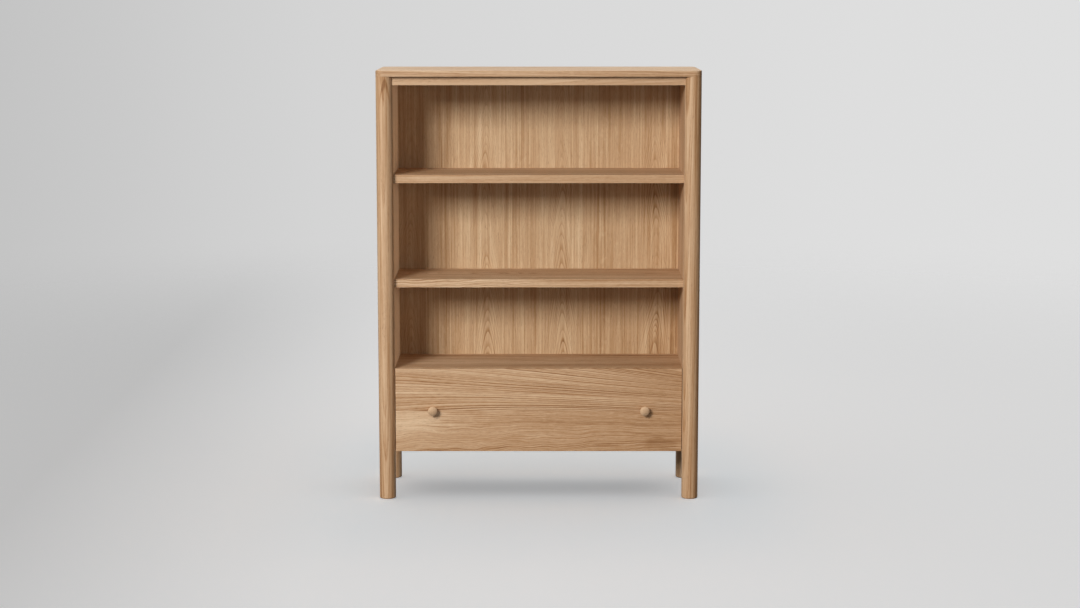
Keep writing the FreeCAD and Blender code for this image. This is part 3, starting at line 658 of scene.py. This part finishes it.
# ------------------------------------------------------------------ small hardware, in millimetres
HEAD_PROFILE = [(0.0, -1.60), (1.5, -1.56), (2.5, -1.40), (3.1, -1.12), (3.4, -0.75), (3.5, -0.35),
                (3.42, -0.04), (3.3, 0.0)]    # radius and height, from the top of the head to its seat
RECESS = ((0.42, 1.85), (0.20, 1.05))    # half width and reach of the cross, at its mouth and its bottom
RECESS_DEPTH = 1.05
PLAIN_SHANK = 0.94           # the shank's radius before the thread starts, in thread radii
THREAD_CORE = 0.70           # the radius between the threads, in thread radii
THREAD_PITCH = 1.6
THREAD_SHARPNESS = 3.4       # higher makes thinner crests
ROWS_PER_TURN = 6
SEGMENTS = 20                # round a head, a shank or a collar

# how far the balls are from the side panel and over or under the slide's middle, and their radius
BALLS = {"outer": (5.9, 19.375, 2.025), "inner": (8.0, 14.2, 1.85)}
BALL_STEPS = (-34.0, 0.0, 34.0)    # along the slide
STRIP = (4.8, 96.0, 0.8)     # width, length and thickness of a cage's strip
COLLAR = ((0.93, -0.55), (1.12, -0.45), (1.14, 0.45), (0.93, 0.55))    # radius in ball radii, and height
SLIDE_MIDDLE = Vector((404.5, -13.0, 246.0))    # on the right side panel, halfway along the slide
SLIDE_SCREWS = (-89, 63)     # along the slides
CABINET_WEB, DRAWER_WEB = 403.3, 392.6    # the faces of the slides that the screws' heads lie on
BOX_FRONT = -102             # the inner face of the drawer box's front
BAY_EDGES = -113             # the front edges of the boards over and under the drawer
PAD_PROFILE = [(5.0, 0.0), (5.0, 0.5), (4.85, 1.0), (4.4, 1.5), (3.6, 1.82), (2.2, 1.96), (0.0, 2.0)]
SMOOTH_ANGLE = 38            # sharper edges than this, in degrees, are drawn sharp
ORDER = Vector((0.618, 1.414, 2.718))    # a direction in which no two edges or faces are level
FORWARDS = (0, -1, 0)
UPWARDS = (0, 0, 1)


def outwards(place):
    """The way from the middle of the bookcase to the side that a place is on."""
    return (math.copysign(1, place[0]), 0, 0)


def inwards(place):
    """The way from the side that a place is on to the middle of the bookcase."""
    return (-math.copysign(1, place[0]), 0, 0)


def grid(sides, depths, levels):
    """Places at all the given sides, depths and levels."""
    return [(x, y, z) for x in sides for y in depths for z in levels]


def skin(shape, rows):
    """Faces between rows of points that each go once round; a row of one point is a tip."""
    made = [[shape.verts.new(point) for point in row] for row in rows]
    for one, other in zip(made, made[1:]):
        for k in range(max(len(one), len(other))):
            here, there = [row[k % len(row)] for row in (one, other)]
            next_here, next_there = [row[(k + 1) % len(row)] for row in (one, other)]
            shape.faces.new(list(dict.fromkeys([here, next_here, next_there, there])))
    for row in (made[0], made[-1]):
        if len(row) > 1:
            shape.faces.new(row)


def in_order(shape):
    """Sort edges and faces by place. Blender lists those of its spheres in another order in each run."""
    shape.edges.sort(key=lambda edge: ORDER.dot(edge.verts[0].co + edge.verts[1].co))
    shape.faces.sort(key=lambda face: ORDER.dot(face.calc_center_median()))


def as_mesh(name, shape):
    """A mesh of a shape, which is used up."""
    mesh = bpy.data.meshes.new(name)
    shape.to_mesh(mesh)
    shape.free()
    return mesh


def skinned(name, rows):
    """A mesh of skinned rows of points."""
    shape = bmesh.new()
    skin(shape, rows)
    return as_mesh(name, shape)


def in_scene(name, data):
    """A new object in the scene."""
    made = bpy.data.objects.new(name, data)
    bpy.context.scene.collection.objects.link(made)
    return made


def as_object(name, shape):
    """An object of a shape whose faces all look outwards."""
    bmesh.ops.recalc_face_normals(shape, faces=shape.faces[:])
    return in_scene(name, as_mesh(name, shape))


def circle(radius, height, segments=SEGMENTS):
    """Points round the Z axis, or the one point on it."""
    if radius == 0:
        return [Vector((0, 0, height))]
    turns = [math.tau * k / segments for k in range(segments)]
    return [Vector((radius * math.cos(t), radius * math.sin(t), height)) for t in turns]


def thread_rows(radius, start, end):
    """Rows of a shank whose thread winds from its start to its point."""
    core = radius * THREAD_CORE
    rows = []
    steps = math.ceil((end - start) / THREAD_PITCH * ROWS_PER_TURN)
    for step in range(steps + 1):
        height = start + (end - start) * step / steps
        taper = min(1.0, (end - height) / (2.2 * radius) + 0.12)
        row = []
        for k in range(SEGMENTS):
            phase = (height / THREAD_PITCH - k / SEGMENTS) % 1.0
            crest = max(0.0, 1 - abs(phase - 0.5) * THREAD_SHARPNESS)
            reach = (core + (radius - core) * crest) * taper
            turn = math.tau * k / SEGMENTS
            row.append(Vector((reach * math.cos(turn), reach * math.sin(turn), height)))
        rows.append(row)
    return rows


def cross():
    """The point of a cross-head driver, to cut out of a screw's head."""
    shape = bmesh.new()
    rows = []
    top = HEAD_PROFILE[0][1]
    for (half, reach), height in zip((RECESS[0], *RECESS), (top - 1.0, top, top + RECESS_DEPTH)):
        quarter = [(reach, -half), (reach, half), (half, half)]
        row = []
        for turn in range(4):
            spin = Matrix.Rotation(math.tau * turn / 4, 3, "Z")
            row += [spin @ Vector((x, y, height)) for x, y in quarter]
        rows.append(row)
    skin(shape, rows)
    return shape


def screw_mesh(length, diameter):
    """A pan-head screw along +Z whose head rests on the origin's plane."""
    radius = diameter / 2
    smooth_to = length * (0.35 if length > 20 else 0.15)    # long screws have a longer plain part
    head = [circle(*place) for place in HEAD_PROFILE]
    shank = [circle(radius * PLAIN_SHANK, height) for height in (0.0, smooth_to)]
    tip = [[Vector((0, 0, length))]]
    shape = bmesh.new()
    skin(shape, head + shank + thread_rows(radius, smooth_to, length - 0.3) + tip)
    whole = as_object("screw", shape)
    cutter = as_object("cutter", cross())
    cut = whole.modifiers.new("recess", "BOOLEAN")
    cut.operation = "DIFFERENCE"
    cut.solver = "EXACT"
    cut.object = cutter
    result = bpy.data.meshes.new_from_object(whole.evaluated_get(bpy.context.evaluated_depsgraph_get()))
    for used in (whole, cutter):
        bpy.data.objects.remove(used)
    return result


def add_mesh(shape, mesh, place, direction):
    """Put a copy of a mesh into a shape, its Z axis turned to a direction."""
    turn = Vector(direction).to_track_quat("Z", "Y").to_matrix().to_4x4()
    moved = mesh.copy()
    moved.transform(Matrix.Translation(place) @ turn)
    shape.from_mesh(moved)
    bpy.data.meshes.remove(moved)


def piece(name, shape, materials, body, node):
    """A finished piece, from millimetres to metres, in the place of a CAD node."""
    bmesh.ops.scale(shape, vec=(MM, MM, MM), verts=shape.verts[:])
    made = as_object(name, shape)
    for material in materials:
        made.data.materials.append(material)
    made.data.shade_smooth()
    made.data.set_sharp_from_angle(angle=math.radians(SMOOTH_ANGLE))
    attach(made, body)
    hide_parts(node)


def screws(node, body, places, direction, length, diameter=3.5):
    """All screws of one node. direction is the same for all, or a function of the place."""
    mesh = screw_mesh(length, diameter)
    shape = bmesh.new()
    for place in places:
        add_mesh(shape, mesh, place, direction(place) if callable(direction) else direction)
    piece("threaded_" + node, shape, [screw_metal], body, node)


def ball_cage(side, kind):
    """Two strips with rounded edges, the pressed rims that hold the balls, and polished balls."""
    node = "%s_%s_ball_cage" % (side, kind)
    away, level, radius = BALLS[kind]
    sign = -1 if side == "left" else 1
    rim = skinned("collar", [circle(radius * share, height) for share, height in COLLAR])
    shape = bmesh.new()
    for up in (-1, 1):
        centre = Vector((sign * (SLIDE_MIDDLE.x - away), SLIDE_MIDDLE.y, SLIDE_MIDDLE.z + up * level))
        size = Matrix.Diagonal((*STRIP, 1.0))
        strip = bmesh.ops.create_cube(shape, size=1.0, matrix=Matrix.Translation(centre) @ size)["verts"]
        edges = list(dict.fromkeys(edge for vert in strip for edge in vert.link_edges))
        bmesh.ops.bevel(shape, geom=edges, offset=0.25, segments=3, affect="EDGES", profile=0.5)
        for step in BALL_STEPS:
            place = centre + Vector((0, step, 0))
            add_mesh(shape, rim, place, UPWARDS)
            before = set(shape.faces)
            bmesh.ops.create_uvsphere(shape, u_segments=20, v_segments=12, radius=radius,
                                      matrix=Matrix.Translation(place))
            for face in shape.faces:
                if face not in before:
                    face.material_index = 1
    in_order(shape)
    piece("polished_" + node, shape, [zinc, bright], node, node)


def pads():
    """Four domed pads on the front edges of the boards over and under the drawer."""
    mesh = skinned("pad", [circle(*place, segments=32) for place in PAD_PROFILE])
    shape = bmesh.new()
    for place in grid((-340, 340), [BAY_EDGES], (146.5, 361)):
        add_mesh(shape, mesh, place, FORWARDS)
    piece("domed_stop_pads", shape, [clear], "cabinet", "drawer_stop_pads")


screws("drawer_front_screws", "drawer", grid((-180, 180), [BOX_FRONT], (206, 286)), FORWARDS, 26)
screws("knob_screws", "drawer", grid((-298, 298), [BOX_FRONT], [252.75]), FORWARDS, 47, diameter=4)
screws("drawer_bottom_screws", "drawer", grid((-260, 0, 260), [93.5], [178]), UPWARDS, 22)
screws("cabinet_slide_screws", "cabinet",
       grid((-CABINET_WEB, CABINET_WEB), SLIDE_SCREWS, [SLIDE_MIDDLE.z]), outwards, 13)
screws("drawer_slide_screws", "drawer",
       grid((-DRAWER_WEB, DRAWER_WEB), SLIDE_SCREWS, [SLIDE_MIDDLE.z]), inwards, 13)
for cage_side in SIDES:
    for cage_kind in BALLS:
        ball_cage(cage_side, cage_kind)
pads()


# ------------------------------------------------------------------ floor and surroundings
FLOOR_SIZE = 9.0
# the floor's greys at their x, and the backdrop's greys at the x of a direction
GREYS = [(-1.47, 189), (-1.18, 199), (-0.90, 208), (-0.58, 216), (0.0, 218), (0.9, 216), (1.47, 215)]
SKY = [(-0.237, 196), (-0.19, 201), (-0.146, 207), (-0.10, 212), (0.0, 217), (0.146, 222), (0.237, 223)]
FLOOR_LIT = 1.55             # how strongly light and shadow show on the floor, next to plain matt paint
FLOOR_TINT = (1.05, 1.0, 0.965)      # the same for its red, green and blue, so that shadows look grey
FLOOR_LIGHT = 0.38           # the light on the open floor, next to a white sheet in full light
FLOOR_COOL = (0.925, 0.965, 0.99)    # takes the wood's glow off the floor near the bookcase
SHADOW_MIDDLE = 0.03         # y of the middle of the dark shadow under the bookcase
SHADOW_ENDS = ((0.42, 0.56), (0.10, 0.26))    # the shadow's soft edge, to each side and to front and back
GLOW_ENDS = ((0.85, 0.45), (1.05, 0.35))      # where the glow is gone and where it is full, the same ways
FADE = (2.2, 6.5)            # the floor fades into the surroundings between these distances
BOUNCE_GREY = 160            # what light that bounces sees of the floor
DOME = 0.10                  # even light from all round
MIRRORED_FROM = (0.88, 0.985)    # reflections show the backdrop where they run straight to the rear


def grey_ramp(g, position, stops):
    """Greys along an axis, from pairs of a position and an sRGB grey."""
    low, high = stops[0][0], stops[-1][0]
    factor = g.remap(position, low, high, smooth=False)
    return g.ramp(factor, [((at - low) / (high - low), paint(grey, grey, grey)) for at, grey in stops])


def floor_colour(g, place):
    """Greys from left to right, and a cooler tone round the shadow under the bookcase."""
    x, y, _ = g.split(place)
    grey = grey_ramp(g, x, GREYS)
    aside = g.math("ABSOLUTE", x)
    away = g.math("ABSOLUTE", g.math("SUBTRACT", y, SHADOW_MIDDLE))
    beyond_shadow = g.math("MAXIMUM", g.remap(away, *SHADOW_ENDS[1]), g.remap(aside, *SHADOW_ENDS[0]))
    close = g.times(g.remap(away, *GLOW_ENDS[1]), g.remap(aside, *GLOW_ENDS[0]))
    return g.mix(g.times(beyond_shadow, close), grey, g.tinted(grey, FLOOR_COOL))


def seen_directly(g):
    """1 for what the camera sees, straight or in metal and glass, and 0 for light that bounces."""
    rays = g.node("LightPath").outputs
    return g.math("MAXIMUM", rays["Is Camera Ray"],
                  g.math("MAXIMUM", rays["Is Glossy Ray"], rays["Is Transmission Ray"]))


def choose(g, factor, one, other):
    """One shader where factor is 0 and the other where it is 1."""
    made = g.node("MixShader", Fac=factor)
    g.put(made.inputs[1], one.outputs[0])
    g.put(made.inputs[2], other.outputs[0])
    return made


def floor():
    """A pale disc under the bookcase that fades into the surroundings."""
    shape = bmesh.new()
    bmesh.ops.create_circle(shape, cap_ends=True, segments=96, radius=FLOOR_SIZE)
    made = in_scene("floor", as_mesh("floor", shape))
    material, g, out = new_material("pale_floor")
    place = g.node("TexCoord").outputs["Object"]
    colour = floor_colour(g, place)
    share = [FLOOR_LIT * tint for tint in FLOOR_TINT]
    rest = [1 - FLOOR_LIGHT * part for part in share]
    both = g.node("AddShader")
    g.put(both.inputs[0], g.node("Emission", Color=g.tinted(colour, rest), Strength=1.0).outputs[0])
    g.put(both.inputs[1], g.node("BsdfDiffuse", Color=g.tinted(colour, share)).outputs[0])
    far = g.remap(g.vector("LENGTH", place), *FADE)
    faded = choose(g, far, both, g.node("BsdfTransparent"))
    plain = g.node("BsdfDiffuse", Color=paint(BOUNCE_GREY, BOUNCE_GREY, BOUNCE_GREY))
    g.put(out.inputs["Surface"], choose(g, seen_directly(g), plain, faded).outputs[0])
    made.data.materials.append(material)
    return made


def surroundings():
    """Even soft light all round, and the pale backdrop that is seen directly or mirrored."""
    world = bpy.data.worlds.new("studio")
    bpy.context.scene.world = world
    world.use_nodes = True
    world.node_tree.nodes.clear()
    g = Graph(world.node_tree)
    x, y, _ = g.split(g.node("TexCoord").outputs["Generated"])
    backdrop = g.node("Background", Color=grey_ramp(g, x, SKY), Strength=1.0)
    light = g.node("Background", Color=(1, 1, 1, 1), Strength=DOME)
    rays = g.node("LightPath").outputs
    straight = g.math("MAXIMUM", rays["Is Camera Ray"], rays["Is Transmission Ray"])
    mirrored = g.times(rays["Is Glossy Ray"], g.remap(y, *MIRRORED_FROM))
    shown = choose(g, g.math("MAXIMUM", straight, mirrored), light, backdrop)
    g.put(g.node("OutputWorld").inputs["Surface"], shown.outputs[0])


def place_light(name, data, way, mirrored, skip, only):
    """Put a light in the scene that shines along a direction, on all objects or on some."""
    made = in_scene(name, data)
    made.rotation_euler = way.to_track_quat("-Z", "Y").to_euler()
    made.visible_camera = False
    made.visible_glossy = mirrored
    if skip or only:
        group = bpy.data.collections.new(name + "_receivers")
        for obj in skip or only:
            group.objects.link(obj)
        made.light_linking.receiver_collection = group
        for member in group.collection_objects:
            member.light_linking.link_state = "EXCLUDE" if skip else "INCLUDE"
    return made


def lamp(name, place, size, level, mirrored=True, skip=(), only=()):
    """A square soft lamp that the camera doesn't see.

    level is the brightness of a white sheet that faces the lamp at the middle of the bookcase.
    """
    way = Vector((0, 0, 0.6)) - Vector(place)
    data = bpy.data.lights.new(name, "AREA")
    data.shape = "SQUARE"
    data.size = size
    data.energy = level * math.pi ** 2 * way.length_squared
    place_light(name, data, way, mirrored, skip, only).location = place


def sky_light(name, direction, spread, level, mirrored=True, skip=()):
    """A far and wide light from one direction, even all over the scene."""
    data = bpy.data.lights.new(name, "SUN")
    data.angle = math.radians(spread)
    data.energy = level * math.pi
    place_light(name, data, -Vector(direction), mirrored, skip, ())


ground = floor()
surroundings()
lamp("key", (-4.08, -8.13, 4.2), 2.8, 0.93, skip=[ground])
lamp("fill", (0.5, -7.2, 1.5), 1.5, 0.05, skip=[ground])
sky_light("overhead", (0, 0, 1), 110, 0.28)
sky_light("rear", (0, 0.75, 1), 60, 0.42, mirrored=False, skip=[ground])
lamp("rear_right", (3.4, 6.0, 2.6), 1.5, 0.06, mirrored=False, skip=[ground])
lamp("rear_left", (-3.4, 6.0, 2.6), 1.5, 0.16, mirrored=False, skip=[ground])
lamp("side", (5.4, -2.4, 1.0), 1.2, 0.35, mirrored=False, only=[NODES["left_side_panel"]])

# ------------------------------------------------------------------ camera
LENS = 73.24                 # in millimetres, as is the sensor
SENSOR_WIDTH = 36.0
CAMERA_PLACE = (0.0037, -6.216, 1.4331)
CAMERA_TILT = 81.78          # degrees up from straight down

view = bpy.data.cameras.new("camera")
view.lens = LENS
view.sensor_width = SENSOR_WIDTH
camera = in_scene("camera", view)
camera.location = CAMERA_PLACE
camera.rotation_euler = (math.radians(CAMERA_TILT), 0, 0)
bpy.context.scene.camera = camera
bpy.context.scene.view_settings.view_transform = "Standard"
